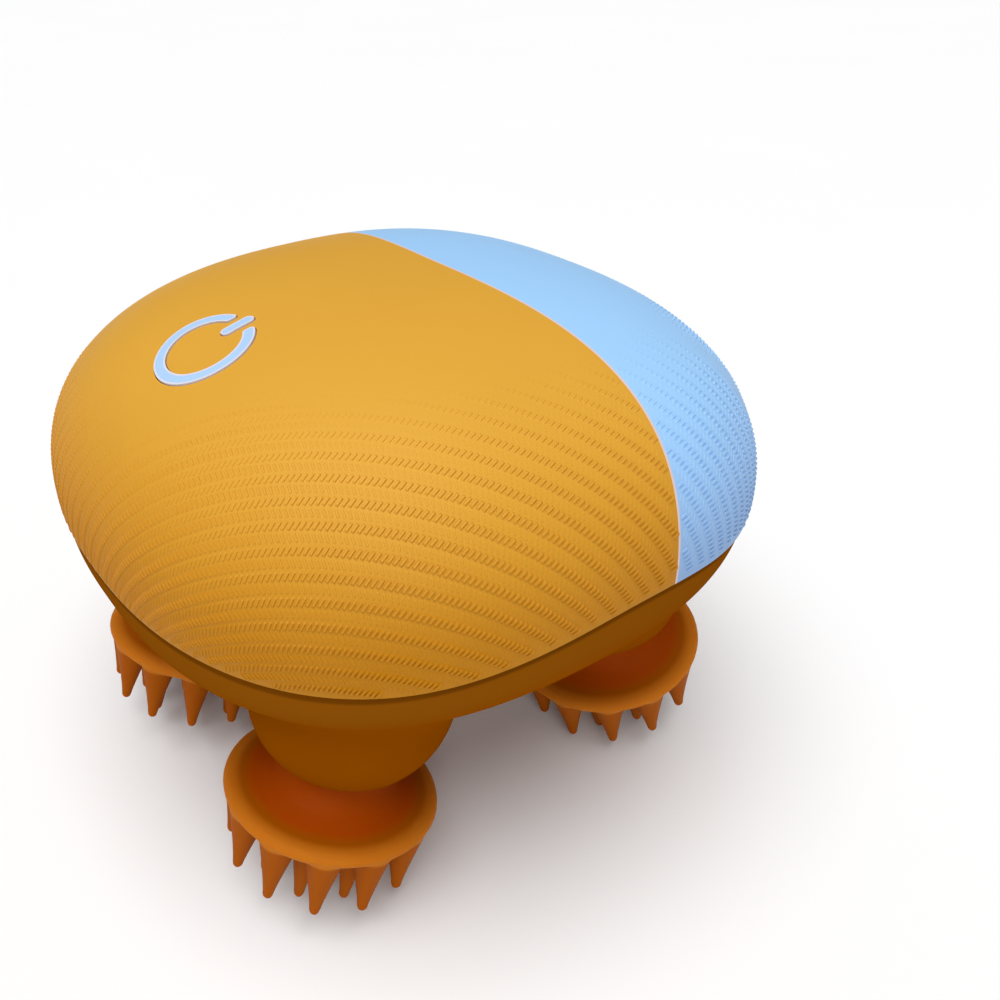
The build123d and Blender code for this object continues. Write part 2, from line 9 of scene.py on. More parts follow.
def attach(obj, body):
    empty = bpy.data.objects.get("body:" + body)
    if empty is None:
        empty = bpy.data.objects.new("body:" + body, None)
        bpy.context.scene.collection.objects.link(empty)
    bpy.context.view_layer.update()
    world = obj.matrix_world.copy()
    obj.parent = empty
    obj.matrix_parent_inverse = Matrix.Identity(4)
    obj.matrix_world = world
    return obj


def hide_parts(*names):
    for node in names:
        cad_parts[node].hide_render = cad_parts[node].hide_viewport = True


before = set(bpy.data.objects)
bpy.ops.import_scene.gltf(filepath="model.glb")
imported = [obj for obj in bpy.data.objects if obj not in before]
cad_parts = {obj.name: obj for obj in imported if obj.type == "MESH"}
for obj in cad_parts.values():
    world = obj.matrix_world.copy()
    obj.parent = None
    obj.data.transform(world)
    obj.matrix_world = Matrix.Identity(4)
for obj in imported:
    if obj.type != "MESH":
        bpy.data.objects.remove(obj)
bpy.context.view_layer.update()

# housing, in millimetres: a rounded-square dome over a shallow bowl on four leaning legs
housing = {
    "halfLength": 55.2, "halfWidth": 56.7, "squareness": 2.44,
    "rise": 33.1, "rimHeight": 1.6, "fullness": 2.2528, "shoulder": 2.3872,
    "tuckDepth": 9.6, "tuckShare": 0.025, "tuckPower": 1.64,  # the cover draws in below its widest line
    "bowlDepth": 14.0, "bowlInset": 12.0,
    "bowlRound": (2.9, 1.9), "bowlRoundFrom": (-50.0, -8.0),  # the bowl is fuller below the key
    "brimZ": 17.7797, "partingZ": 59.1797,
    # the parting line waves along X
    "waveMean": 0.6, "waveSwing": 1.9, "wavePeriod": 84.0, "waveSlope": 0.015,
    "coverWall": 1.4, "lowerStep": 0.4, "lowerWall": 2.2,
    "dividerX": 7.8, "dividerSweep": 3.3, "dividerTurn": 40.0, "dividerWidth": 0.4,
    "lean": 14.6, "legX": 31.5, "legY": 25.0,
}
sideSign = {"left": -1, "right": 1}
rowSign = {"front": -1, "rear": 1}


# camera, placed round the middle of the housing; the lens and the centre are in thousandths of the width
view = {"azimuth": -34.344, "elevation": 33.449, "roll": -1.2665, "distance": 167.334,
        "target": (-3.1945, -5.5871, -8.5896), "lens": 953.056, "centre": (400.10, 512.49)}


def placeCamera():
    a, e, r = radians(view["azimuth"]), radians(view["elevation"]), radians(view["roll"])
    back = Vector((sin(a) * cos(e), -cos(a) * cos(e), sin(e)))
    right = Vector((cos(a), sin(a), 0))
    up = back.cross(right)
    across = right * cos(r) + up * sin(r)
    upward = up * cos(r) - right * sin(r)
    target = Vector(view["target"]) + Vector((0, 0, housing["partingZ"]))
    data = bpy.data.cameras.new("viewCamera")
    camera = bpy.data.objects.new("viewCamera", data)
    bpy.context.scene.collection.objects.link(camera)
    turn = Matrix((across, upward, back)).transposed().to_4x4()
    camera.matrix_world = Matrix.Translation((target + back * view["distance"]) * 0.001) @ turn
    data.sensor_width = 36
    data.lens = view["lens"] / 1000 * data.sensor_width
    data.shift_x = (500 - view["centre"][0]) / 1000
    data.shift_y = (view["centre"][1] - 500) / 1000
    data.clip_start, data.clip_end = 0.005, 20
    bpy.context.scene.camera = camera


placeCamera()


# mesh helpers: points are in millimetres, objects in metres
def newPiece(name, points, faces, smooth=True):
    mesh = bpy.data.meshes.new(name)
    metres = [tuple(c * 0.001 for c in point) for point in points]
    mesh.from_pydata(metres, [], [tuple(int(i) for i in face) for face in faces])
    mesh.validate()
    piece = bpy.data.objects.new(name, mesh)
    bpy.context.scene.collection.objects.link(piece)
    mesh.polygons.foreach_set("use_smooth", [smooth] * len(mesh.polygons))
    return piece


def outwards(piece):
    shape = bmesh.new()
    shape.from_mesh(piece.data)
    bmesh.ops.remove_doubles(shape, verts=shape.verts, dist=1e-7)
    bmesh.ops.recalc_face_normals(shape, faces=shape.faces)
    shape.to_mesh(piece.data)
    shape.free()
    return piece


def settle(piece):
    look = piece.evaluated_get(bpy.context.evaluated_depsgraph_get())
    mesh = bpy.data.meshes.new_from_object(look)
    piece.modifiers.clear()
    old = piece.data
    piece.data = mesh
    mesh.name = piece.name
    bpy.data.meshes.remove(old)
    return piece


def discard(*pieces):
    for piece in pieces:
        mesh = piece.data
        bpy.data.objects.remove(piece)
        bpy.data.meshes.remove(mesh)


def combine(piece, tool, how):
    step = piece.modifiers.new(how.lower(), "BOOLEAN")
    step.operation, step.object, step.solver = how, tool, "MANIFOLD"
    settle(piece)
    discard(tool)
    return piece


def crease(piece, angle=32):
    piece.data.polygons.foreach_set("use_smooth", [True] * len(piece.data.polygons))
    piece.data.set_sharp_from_angle(angle=radians(angle))
    return piece


def stack(rings):
    count = len(rings[0])
    points = [p for ring in rings for p in ring]
    faces = []
    for k in range(len(rings) - 1):
        for i in range(count):
            j = (i + 1) % count
            faces.append((k * count + i, k * count + j, (k + 1) * count + j, (k + 1) * count + i))
    for start in (0, (len(rings) - 1) * count):  # a hub closes each end
        ring = points[start:start + count]
        hub = len(points)
        points.append(tuple(sum(c) / count for c in zip(*ring)))
        for i in range(count):
            pair = (start + i, start + (i + 1) % count)
            faces.append((hub,) + (pair if start else pair[::-1]))
    return points, faces


def prism(name, outline, low, high, axis="z"):
    def turned(u, v, h):
        return {"z": (u, v, h), "y": (u, h, v), "x": (h, u, v)}[axis]
    rings = [[turned(u, v, h) for u, v in outline] for h in (low, high)]
    count = len(outline)
    points = rings[0] + rings[1]
    faces = [tuple(range(count)), tuple(range(count, 2 * count))[::-1]]
    faces += [(i, (i + 1) % count, count + (i + 1) % count, count + i) for i in range(count)]
    return outwards(newPiece(name, points, faces, False))


def lathe(name, profile, count=96):
    turns = [2 * pi * i / count for i in range(count)]
    rings = [[(r * cos(t), r * sin(t), z) for t in turns] for r, z in profile]
    return outwards(newPiece(name, *stack(rings)))


def modulePlace(side):
    s = sideSign[side]
    shift = Matrix.Translation((s * housing["legX"] * 0.001, 0, housing["brimZ"] * 0.001))
    return shift @ Matrix.Rotation(radians(-s * housing["lean"]), 4, "Y")


def legPlace(side, row):
    return modulePlace(side) @ Matrix.Translation((0, rowSign[row] * housing["legY"] * 0.001, 0))


def ease(low, high, value):
    t = min(1, max(0, (value - low) / (high - low)))
    return t * t * (3 - 2 * t)


# housing forms
def planPoint(angle, halfX, halfY):
    n = housing["squareness"]
    r = (abs(cos(angle) / halfX) ** n + abs(sin(angle) / halfY) ** n) ** (-1 / n)
    return r * cos(angle), r * sin(angle)


def planRing(halfX, halfY, z, count=288):
    return [planPoint(2 * pi * i / count, halfX, halfY) + (z,) for i in range(count)]


def domeSection(turn, inset):
    scale = cos(turn) ** (2 / housing["shoulder"])
    rise = (housing["rise"] - inset - housing["rimHeight"]) * sin(turn) ** (2 / housing["fullness"])
    return scale, housing["partingZ"] + housing["rimHeight"] + rise


def rimTuck(drop):
    depth = housing["tuckDepth"]
    return 1 - housing["tuckShare"] * (min(drop, depth) / depth) ** housing["tuckPower"]


def domeSolid(name, inset):
    halfX, halfY = housing["halfLength"] - inset, housing["halfWidth"] - inset
    rings = []
    for drop in (housing["tuckDepth"], 7.6, 5.6, 4.0, 2.8, 1.8, 1.0, 0.4):
        scale = rimTuck(drop)
        rings.append(planRing(halfX * scale, halfY * scale, housing["partingZ"] + housing["rimHeight"] - drop))
    steps = 64
    for k in range(steps):
        scale, z = domeSection(radians(89.2) * k / (steps - 1), inset)
        rings.append(planRing(halfX * scale, halfY * scale, z))
    points, faces = stack(rings)
    points[-1] = (0, 0, housing["partingZ"] + housing["rise"] - inset)
    return outwards(newPiece(name, points, faces))


def domeHeight(x, y):
    n = housing["squareness"]
    scale = (abs(x / housing["halfLength"]) ** n + abs(y / housing["halfWidth"]) ** n) ** (1 / n)
    return domeSection(acos(min(1, scale) ** (housing["shoulder"] / 2)), 0)[1]


def bowlSolid(name, inset, lift=0.0):
    depth = housing["bowlDepth"] - lift
    rings = [planRing(housing["halfLength"] - inset, housing["halfWidth"] - inset, housing["partingZ"] + 6)]
    for k in range(25):
        drop = sin(radians(90) * k / 24)
        pair = []
        for power in housing["bowlRound"]:
            pull = inset + housing["bowlInset"] * (1 - max(0, 1 - drop ** power) ** (1 / power))
            pair.append(planRing(housing["halfLength"] - pull, housing["halfWidth"] - pull,
                                 housing["partingZ"] - depth * drop))
        rings.append([tuple(a + (b - a) * ease(*housing["bowlRoundFrom"], full[0]) for a, b in zip(full, slim))
                      for full, slim in zip(*pair)])
    return outwards(newPiece(name, *stack(rings)))


def partingLevel(x):
    wave = housing["waveMean"] + housing["waveSwing"] * cos(2 * pi * x / housing["wavePeriod"])
    return housing["partingZ"] + wave + housing["waveSlope"] * x


def partingPrism(name, farZ, offset=0.0):
    edge = [(x / 2, partingLevel(x / 2) + offset) for x in range(-132, 133)]
    return prism(name, edge + [(66, farZ), (-66, farZ)], -75, 75, "y")


def dividerX(y):
    share = (y / housing["dividerTurn"]) ** 2
    return housing["dividerX"] + housing["dividerSweep"] * (2 * share - share ** 2)


def beyondDivider(name, offset):
    outline = [(dividerX(y) + offset, y) for y in range(-64, 65)] + [(90, 64), (90, -64)]
    return prism(name, outline, -10, 150)


# power key: an open ring with a bar in its gap
powerKey = {
    "x": -32.9, "ringOuter": 7.9, "ringInner": 6.0, "gapHalf": 2.35, "endRound": 0.6,
    "barStart": 3.2, "barEnd": 8.7,
    "gap": 0.14, "proud": 0.2, "sink": 0.6, "border": 0.3, "borderProud": 0.23,
    "plateRadius": 10.3, "plateGap": 0.12, "plateDepth": 1.4,
    "stemRadius": 1.6, "stemFrom": -4.15, "stemTo": -2.2,
}
slope = atan2(domeHeight(powerKey["x"] + 0.5, 0) - domeHeight(powerKey["x"] - 0.5, 0), 1.0)
keyPlace = (Matrix.Translation((powerKey["x"] * 0.001, 0, domeHeight(powerKey["x"], 0) * 0.001))
            @ Matrix.Rotation(-slope, 4, "Y"))


def arcPoints(centre, radius, start, end, steps=10):
    turns = [start + (end - start) * i / steps for i in range(steps + 1)]
    return [(centre[0] + radius * cos(t), centre[1] + radius * sin(t)) for t in turns]


def symbolPrism(name, grow=0.0):
    k = powerKey
    outer, inner, bend, gap = k["ringOuter"], k["ringInner"], k["endRound"], k["gapHalf"]
    farTurn = asin((gap + bend) / (outer - bend))
    nearTurn = asin((gap + bend) / (inner + bend))
    farSpot = ((outer - bend) * cos(farTurn), (outer - bend) * sin(farTurn))
    nearSpot = ((inner + bend) * cos(nearTurn), (inner + bend) * sin(nearTurn))
    half = arcPoints((0, 0), inner - grow, pi, nearTurn, 48)
    half += arcPoints(nearSpot, bend + grow, nearTurn + pi, 1.5 * pi)
    half += arcPoints(farSpot, bend + grow, -pi / 2, farTurn)
    half += arcPoints((0, 0), outer + grow, farTurn, pi, 48)
    outline = half + [(x, -y) for x, y in reversed(half[1:-1])]
    ring = prism(name, outline, -8, 8)
    width = (outer - inner) / 2 + grow
    start, end = k["barStart"] - grow + width, k["barEnd"] + grow - width
    outline = arcPoints((end, 0), width, -pi / 2, pi / 2, 16)
    outline += arcPoints((start, 0), width, pi / 2, 1.5 * pi, 16)
    combine(ring, prism(name + "Bar", outline, -8, 8), "UNION")
    ring.data.transform(keyPlace)
    return ring


def makeCovers():
    skin = domeSolid("coverSkin", 0)
    combine(skin, domeSolid("coverInside", housing["coverWall"]), "DIFFERENCE")
    combine(skin, partingPrism("overRim", 150), "INTERSECT")
    half = housing["dividerWidth"] / 2
    orange, blue, line = skin, skin.copy(), skin.copy()
    for piece, name in ((blue, "blueCover"), (line, "dividerLine")):
        piece.data = skin.data.copy()
        piece.name = name
        bpy.context.scene.collection.objects.link(piece)
    orange.name = "orangeCover"
    combine(orange, beyondDivider("cut", -half), "DIFFERENCE")
    combine(blue, beyondDivider("cut", half), "INTERSECT")
    combine(line, beyondDivider("cut", -half), "INTERSECT")
    combine(line, beyondDivider("cut", half), "DIFFERENCE")
    combine(orange, symbolPrism("keyHole", powerKey["gap"]), "DIFFERENCE")
    return orange, blue, line


def makeKey():
    k, wall = powerKey, housing["coverWall"]
    key = symbolPrism("powerKeySymbol", 0.01 - k["border"])
    combine(key, domeSolid("keyTop", -k["proud"]), "INTERSECT")
    combine(key, domeSolid("keyUnder", wall + k["sink"]), "DIFFERENCE")
    border = symbolPrism("powerKeyBorder")
    combine(border, symbolPrism("borderInside", -k["border"]), "DIFFERENCE")
    combine(border, domeSolid("borderTop", -k["borderProud"]), "INTERSECT")
    combine(border, domeSolid("borderUnder", wall + k["sink"]), "DIFFERENCE")
    plate = prism("keyPlate", arcPoints((0, 0), k["plateRadius"], 0, 2 * pi, 96)[:-1], -8, 8)
    plate.data.transform(keyPlace)
    combine(plate, domeSolid("plateTop", wall + k["plateGap"]), "INTERSECT")
    combine(plate, domeSolid("plateUnder", wall + k["plateDepth"]), "DIFFERENCE")
    stem = lathe("keyStem", [(k["stemRadius"], k["stemFrom"]), (k["stemRadius"], k["stemTo"])], 32)
    stem.data.transform(keyPlace)
    combine(key, plate, "UNION")
    combine(key, stem, "UNION")
    return key, border


# lower shell: bowl and four legs grown together, hollow, with its ports and bores
lowerShell = {
    "voxel": 0.9, "smoothing": 30, "seam": 0.15,
    "ball": 16.9, "ballHeight": 21.0, "foot": 8.2,  # each leg ends in a ball cut flat at its foot
    "flare": 9.0, "flareBend": 1.9, "flareHeight": 14.5, "legTop": 40,
    "taperStart": 5, "legPull": 0.3, "legPullOver": 40,  # how far in the legs stay from the housing's side
    "taper": ((0, 0.4), (5, 0.5), (8, 0.8), (11, 1.7), (15, 3.7), (19, 5.6), (25, 7.0), (35, 8.1), (53, 9.0)),
    "cupRadius": 8.9, "cupDepth": 2.2, "tubeRadius": 6.5, "tubeTop": 20.0, "bore": 4.0,
    "screwSpots": ((0, 40), (0, -40), (-38.5, 0), (38.5, 0)),
    "headBore": 2.6, "headBoreDepth": 2.4, "shankBore": 1.5, "postRadius": 3.2,
    "portDrop": 5.6, "plug": (15.0, 8.6), "port": (10.4, 4.6), "plugDepth": 1.2,
}


def legProfile(shrink, foot):
    s = lowerShell
    ball, height = s["ball"] - shrink, s["ballHeight"]
    footRadius = sqrt(ball ** 2 - (height - foot) ** 2)
    low = -atan2(height - foot, footRadius)
    profile = [(footRadius, foot)]
    for k in range(1, 25):
        t = low * (1 - k / 24)
        profile.append((ball * cos(t), height + ball * sin(t)))
    for k in range(1, 21):
        t = k / 20
        profile.append((ball + s["flare"] * t ** s["flareBend"], height + s["flareHeight"] * t))
    profile.append((ball + s["flare"], s["legTop"]))
    return profile


def taperLimit(inset, z):
    drop = housing["partingZ"] + lowerShell["taperStart"] - z
    spots = lowerShell["taper"]
    for (d0, p0), (d1, p1) in zip(spots, spots[1:]):
        if drop <= d1:
            return inset + p0 + (p1 - p0) * max(0, drop - d0) / (d1 - d0)
    return inset + spots[-1][1]


def lowerForm(name, inset, shrink, lift, foot):
    form = bowlSolid(name, inset, lift)
    n = housing["squareness"]
    for side in sideSign:
        for row in rowSign:
            leg = lathe("leg", legProfile(shrink, foot))
            leg.data.transform(legPlace(side, row))
            for v in leg.data.vertices:
                x, y, z = v.co * 1000
                share = 1 - lowerShell["legPull"] * ease(0, lowerShell["legPullOver"], -x)
                pull = taperLimit(inset, z) * share
                halfX, halfY = housing["halfLength"] - pull, housing["halfWidth"] - pull
                scale = (abs(x / halfX) ** n + abs(y / halfY) ** n) ** (1 / n)
                if scale > 1:
                    v.co.x, v.co.y = v.co.x / scale, v.co.y / scale
            combine(form, leg, "UNION")
    grow = form.modifiers.new("grow", "REMESH")
    grow.mode, grow.voxel_size, grow.use_smooth_shade = "VOXEL", lowerShell["voxel"] * 0.001, True
    relax = form.modifiers.new("relax", "SMOOTH")
    relax.factor, relax.iterations = 0.5, lowerShell["smoothing"]
    return settle(form)


def rod(name, radius, low, high, place, count=64):
    piece = lathe(name, [(radius, low), (radius, high)], count)
    piece.data.transform(place)
    return piece


def at(x, y, z=0.0):
    return Matrix.Translation((x * 0.001, y * 0.001, z * 0.001))


def stadium(width, height, z):
    half = height / 2
    reach = width / 2 - half
    turns = [pi * (i / 16 - 0.5) for i in range(17)]
    outline = [(reach + half * cos(t), z + half * sin(t)) for t in turns]
    return outline + [(-reach - half * cos(t), z - half * sin(t)) for t in turns]


def makeLowerShell():
    s, wall = lowerShell, housing["lowerWall"]
    cupFloor, floor = s["foot"] + s["cupDepth"], housing["partingZ"] - housing["bowlDepth"]
    shell = lowerForm("lowerShell", housing["lowerStep"], 0, 0, s["foot"])
    inside = lowerForm("lowerInside", housing["lowerStep"] + wall, wall, wall, cupFloor + wall)
    combine(shell, inside, "DIFFERENCE")
    for x, y in s["screwSpots"]:
        combine(shell, rod("post", s["postRadius"], floor + 0.5, partingLevel(x) - 2, at(x, y)), "UNION")
    for side in sideSign:
        for row in rowSign:
            place = legPlace(side, row)
            combine(shell, rod("tube", s["tubeRadius"], cupFloor - 0.5, s["tubeTop"], place), "UNION")
            combine(shell, rod("bore", s["bore"], s["foot"] - 2, s["tubeTop"] + 1, place), "DIFFERENCE")
            combine(shell, rod("cup", s["cupRadius"], s["foot"] - 3, cupFloor, place), "DIFFERENCE")
    for x, y in s["screwSpots"]:
        shank = rod("shank", s["shankBore"], floor - 1, partingLevel(x) + 4, at(x, y), 32)
        combine(shell, shank, "DIFFERENCE")
        head = rod("head", s["headBore"], floor - 1, floor + s["headBoreDepth"], at(x, y), 48)
        combine(shell, head, "DIFFERENCE")
    portZ = housing["partingZ"] - s["portDrop"]
    combine(shell, prism("port", stadium(*s["port"], portZ), 45, 60, "x"), "DIFFERENCE")
    recess = prism("recess", stadium(*s["plug"], portZ), 45, 60, "x")
    combine(recess, bowlSolid("recessFloor", housing["lowerStep"] + s["plugDepth"]), "DIFFERENCE")
    combine(shell, recess, "DIFFERENCE")
    combine(shell, partingPrism("underRim", -60, -s["seam"]), "INTERSECT")
    return shell


# claw heads: one silicone body each, with two rings of fingers and one finger in the middle
clawHead = {
    "web": -1.2, "webRadius": 16.4, "stemHeight": 9.5, "coreRadius": 5.0, "coreFloor": 0.8,
    "brim": ((17.4, -0.8), (18.0, 0.1), (17.75, 0.9), (17.0, 1.4), (16.0, 1.55)),
    "neck": ((14.4, 1.75), (12.6, 2.2), (11.0, 2.9), (9.8, 3.85),
             (8.9, 5.1), (8.2, 6.6), (7.7, 8.1), (7.4, 9.5)),
    "fingerRoot": 3.4, "fingerTip": 0.9, "fingerBend": 1.2, "rootSink": 0.3,
    "outerCount": 12, "outerRing": 14.4, "outerTipRing": 15.3, "outerLength": 13.0,
    "innerCount": 8, "innerRing": 9.8, "innerLength": 15.8, "innerTurn": 15,
    "voxel": 0.34, "smoothing": 5,
    "lipRadius": (12.5, 17.4), "lipHeight": (-1.6, -0.6), "fingerHeight": (-0.9, 0.6),  # where the colours change: painted shade over the dish, the fingers' colour, painted light on the lip
    "turns": {("left", "front"): 25, ("right", "front"): 18, ("left", "rear"): 2, ("right", "rear"): 10},
}


def socketId(tree, name):
    return next(item.identifier for item in tree.interface.items_tree
                if item.item_type == "SOCKET" and item.in_out == "INPUT" and item.name == name)


def addInputs(tree, wanted):
    for name, kind, value in wanted:
        socket = tree.interface.new_socket(name, in_out="INPUT", socket_type="NodeSocket" + kind)
        if value is not None:
            socket.default_value = value


def addNode(tree, kind, settings=None, **links):
    node = tree.nodes.new(kind)
    for key, value in (settings or {}).items():
        setattr(node, key, value)
    for key, value in links.items():
        numbered = key[0] == "i" and key[1:].isdigit()
        socket = node.inputs[int(key[1:]) if numbered else key.replace("_", " ")]
        if isinstance(value, bpy.types.NodeSocket):
            tree.links.new(value, socket)
        else:
            socket.default_value = value
    return node


def runTree(piece, tree, values):
    step = piece.modifiers.new(tree.name, "NODES")
    step.node_group = tree
    for name, value in values.items():
        step[socketId(tree, name)] = value
    settle(piece)
    bpy.data.node_groups.remove(tree)
    return piece


def fingerTree():
    tree = bpy.data.node_groups.new("fingerRings", "GeometryNodeTree")
    addInputs(tree, (
        ("Geometry", "Geometry", None), ("Finger", "Object", None), ("Outer Count", "Int", 12),
        ("Outer Ring", "Float", 0.0144), ("Outer Lean", "Float", 0.07), ("Outer Length", "Float", 1.0),
        ("Inner Count", "Int", 8), ("Inner Ring", "Float", 0.0098), ("Inner Length", "Float", 1.2),
        ("Inner Turn", "Float", 0.26), ("Material", "Material", None)))
    tree.interface.new_socket("Geometry", in_out="OUTPUT", socket_type="NodeSocketGeometry")
    given = addNode(tree, "NodeGroupInput").outputs
    finger = addNode(tree, "GeometryNodeObjectInfo", i0=given["Finger"]).outputs["Geometry"]
    joined = addNode(tree, "GeometryNodeJoinGeometry")
    tree.links.new(given["Geometry"], joined.inputs[0])
    for count, ring, lean, length, turn in (
            ("Outer Count", "Outer Ring", "Outer Lean", "Outer Length", None),
            ("Inner Count", "Inner Ring", None, "Inner Length", "Inner Turn")):
        circle = addNode(tree, "GeometryNodeMeshCircle", Vertices=given[count], Radius=given[ring])
        index = addNode(tree, "GeometryNodeInputIndex")
        share = addNode(tree, "ShaderNodeMath", {"operation": "DIVIDE"}, i0=index.outputs[0], i1=given[count])
        angle = addNode(tree, "ShaderNodeMath", {"operation": "MULTIPLY"}, i0=share.outputs[0], i1=2 * pi)
        rotation = addNode(tree, "ShaderNodeCombineXYZ", i2=angle.outputs[0])
        if lean:
            tree.links.new(given[lean], rotation.inputs[1])
        scale = addNode(tree, "ShaderNodeCombineXYZ", i0=1.0, i1=1.0, i2=given[length])
        spread = addNode(tree, "GeometryNodeInstanceOnPoints", Points=circle.outputs[0], Instance=finger,
                         Rotation=rotation.outputs[0], Scale=scale.outputs[0])
        result = spread.outputs[0]
        if turn:
            spin = addNode(tree, "ShaderNodeCombineXYZ", i2=given[turn])
            turned = addNode(tree, "GeometryNodeTransform", Geometry=result, Rotation=spin.outputs[0])
            result = turned.outputs[0]
        tree.links.new(result, joined.inputs[0])
    middle = addNode(tree, "ShaderNodeCombineXYZ", i0=1.0, i1=1.0, i2=given["Inner Length"])
    centre = addNode(tree, "GeometryNodeTransform", Geometry=finger, Scale=middle.outputs[0])
    tree.links.new(centre.outputs[0], joined.inputs[0])
    real = addNode(tree, "GeometryNodeRealizeInstances", i0=joined.outputs[0])
    dressed = addNode(tree, "GeometryNodeSetMaterial", Geometry=real.outputs[0], Material=given["Material"])
    tree.links.new(dressed.outputs[0], addNode(tree, "NodeGroupOutput").inputs[0])
    return tree


def makeClawHead(silicone):
    c = clawHead
    profile = [(c["webRadius"], c["web"]), *c["brim"], *c["neck"]]
    profile += [(c["coreRadius"], c["stemHeight"]), (c["coreRadius"], c["coreFloor"])]
    body = lathe("clawHead", profile, 128)
    root = c["web"] + c["rootSink"]
    length = c["outerLength"] + root
    straight = length - c["fingerTip"]
    sides = [(c["fingerTip"] + (c["fingerRoot"] - c["fingerTip"]) * (1 - k / 12) ** c["fingerBend"],
              -straight * k / 12) for k in range(13)]
    tip = [(c["fingerTip"] * cos(t), -straight - c["fingerTip"] * sin(t))
           for t in [radians(15 * k) for k in range(1, 6)]]
    finger = lathe("finger", sides + tip, 24)
    lean = atan2(c["outerTipRing"] - c["outerRing"], c["outerLength"])
    body.data.transform(Matrix.Translation((0, 0, -root * 0.001)))
    runTree(body, fingerTree(), {
        "Finger": finger, "Material": silicone,
        "Outer Count": c["outerCount"], "Outer Ring": c["outerRing"] * 0.001,
        "Outer Lean": -lean, "Outer Length": 1.0,
        "Inner Count": c["innerCount"], "Inner Ring": c["innerRing"] * 0.001,
        "Inner Turn": radians(c["innerTurn"]), "Inner Length": (c["innerLength"] + root) / length,
    })
    body.data.transform(Matrix.Translation((0, 0, root * 0.001)))
    discard(finger)
    grow = body.modifiers.new("grow", "REMESH")
    grow.mode, grow.voxel_size, grow.use_smooth_shade = "VOXEL", c["voxel"] * 0.001, True
    relax = body.modifiers.new("relax", "SMOOTH")
    relax.factor, relax.iterations = 0.5, c["smoothing"]
    settle(body)
    # painted shading: 0 over the dish and stem for painted shade, 0.5 on the fingers, 1 at the lip for painted
    # light
    tone = body.data.attributes.new("tone", "FLOAT", "POINT")
    values = []
    for v in body.data.vertices:
        r, z = sqrt(v.co.x ** 2 + v.co.y ** 2) * 1000, v.co.z * 1000
        lipLight = ease(*c["lipRadius"], r) * ease(*c["lipHeight"], z)
        values.append(0.5 * (1 - ease(*c["fingerHeight"], z)) * (1 - lipLight) + lipLight)
    tone.data.foreach_set("value", values)
    return body


# raised dashes: a herringbone laid over each half of the dome as if it were unrolled from its top
dashes = {
    "rowStep": 1.55, "firstRow": -11.8, "lastRow": 85, "pitch": 0.84, "reach": 84.0,
    "arch": 0.0017, "archMiddle": 12.0, "rimSpan": 55.0,  # the rows bow round the corner
    "length": 1.5, "width": 0.45, "height": 0.26, "slant": 63, "topShare": 0.46, "thinning": 0.25, "sunk": 0.02,
    "margin": 0.7, "dividerGap": 0.75, "keyGap": (11, 20), "meeting": 6.0, "least": 0.06,
    "fade": 0.52, "fadeSpan": 0.36, "fadeStart": 0.2, "fadeEnd": 0.05, "fadeReach": (15, 45),
    "forward": (0.45, 1.0), "backward": (0.8, 0.3), "turnover": (-22, 12), "blueShare": 0.85,
}


def unrolledSurface(u, v, corner):
    halfX, halfY, n = housing["halfLength"], housing["halfWidth"], housing["squareness"]
    length = np.hypot(u, v)
    angle = np.radians(corner) + np.arctan2(v, u)
    plan = (np.abs(np.cos(angle) / halfX) ** n + np.abs(np.sin(angle) / halfY) ** n) ** (-1 / n)
    turns = np.linspace(pi / 2, 0, 400)
    share = np.cos(turns).clip(0) ** (2 / housing["shoulder"])
    height = (housing["rise"] - housing["rimHeight"]) * np.sin(turns) ** (2 / housing["fullness"])
    spots = np.empty((len(u), 3))
    scale = np.empty(len(u))
    for i in range(len(u)):
        run = np.concatenate(([0], np.cumsum(np.hypot(np.diff(share) * plan[i], np.diff(height)))))
        over = length[i] - run[-1]
        if over <= 0:
            scale[i] = wide = np.interp(length[i], run, share)
            z = np.interp(length[i], run, height)
        else:
            scale[i], wide, z = 1 + over / dashes["rimSpan"], rimTuck(over), -over
        spots[i] = (plan[i] * wide * np.cos(angle[i]), plan[i] * wide * np.sin(angle[i]),
                    housing["partingZ"] + housing["rimHeight"] + z)
    return spots, scale


def dashSpots():
    d = dashes
    count = int(d["reach"] / d["pitch"])
    v = np.arange(-count, count + 1) * d["pitch"]
    spots = []
    for row in range(int((d["lastRow"] - d["firstRow"]) / d["rowStep"])):
        u = d["firstRow"] + row * d["rowStep"] + d["arch"] * (v - d["archMiddle"]) ** 2
        for corner in (225, 45):
            here, scale = unrolledSurface(u, v, corner)
            there, _ = unrolledSurface(u, v + 0.1, corner)
            for i in range(len(v)):
                if u[i] > 0.5 * d["rowStep"] and here[i][2] > housing["partingZ"] - 3:
                    along = Vector(there[i] - here[i]).normalized()
                    spots.append((Vector(here[i]), along, row, float(u[i]), float(v[i]), float(scale[i])))
    return spots


def surfaceNormal(spot):
    x, y, z = spot
    n = housing["squareness"]
    halfX, halfY = housing["halfLength"], housing["halfWidth"]
    gradient = Vector(((abs(x) / halfX) ** (n - 1) * (1 if x > 0 else -1) / halfX,
                       (abs(y) / halfY) ** (n - 1) * (1 if y > 0 else -1) / halfY, 0))
    flat = gradient.normalized()
    if z <= housing["partingZ"] + housing["rimHeight"] + 0.01:
        return flat
    level = (z - housing["partingZ"] - housing["rimHeight"]) / (housing["rise"] - housing["rimHeight"])
    turn = min(1.0, level ** (housing["fullness"] / 2))
    angle = atan2(turn, sqrt(max(1e-9, 1 - turn ** 2)))
    step = 1e-4
    s0, z0 = domeSection(max(0.0, angle - step), 0)
    s1, z1 = domeSection(min(pi / 2 - 1e-6, angle + step), 0)
    radial = Vector((x, y, 0))
    radius = radial.length
    outwardShare = max(0.15, flat.dot(radial.normalized()))
    slopeIn = (s0 - s1) / max(s0, 1e-6) * radius * outwardShare
    climb = z1 - z0
    return (flat * climb + Vector((0, 0, slopeIn))).normalized()


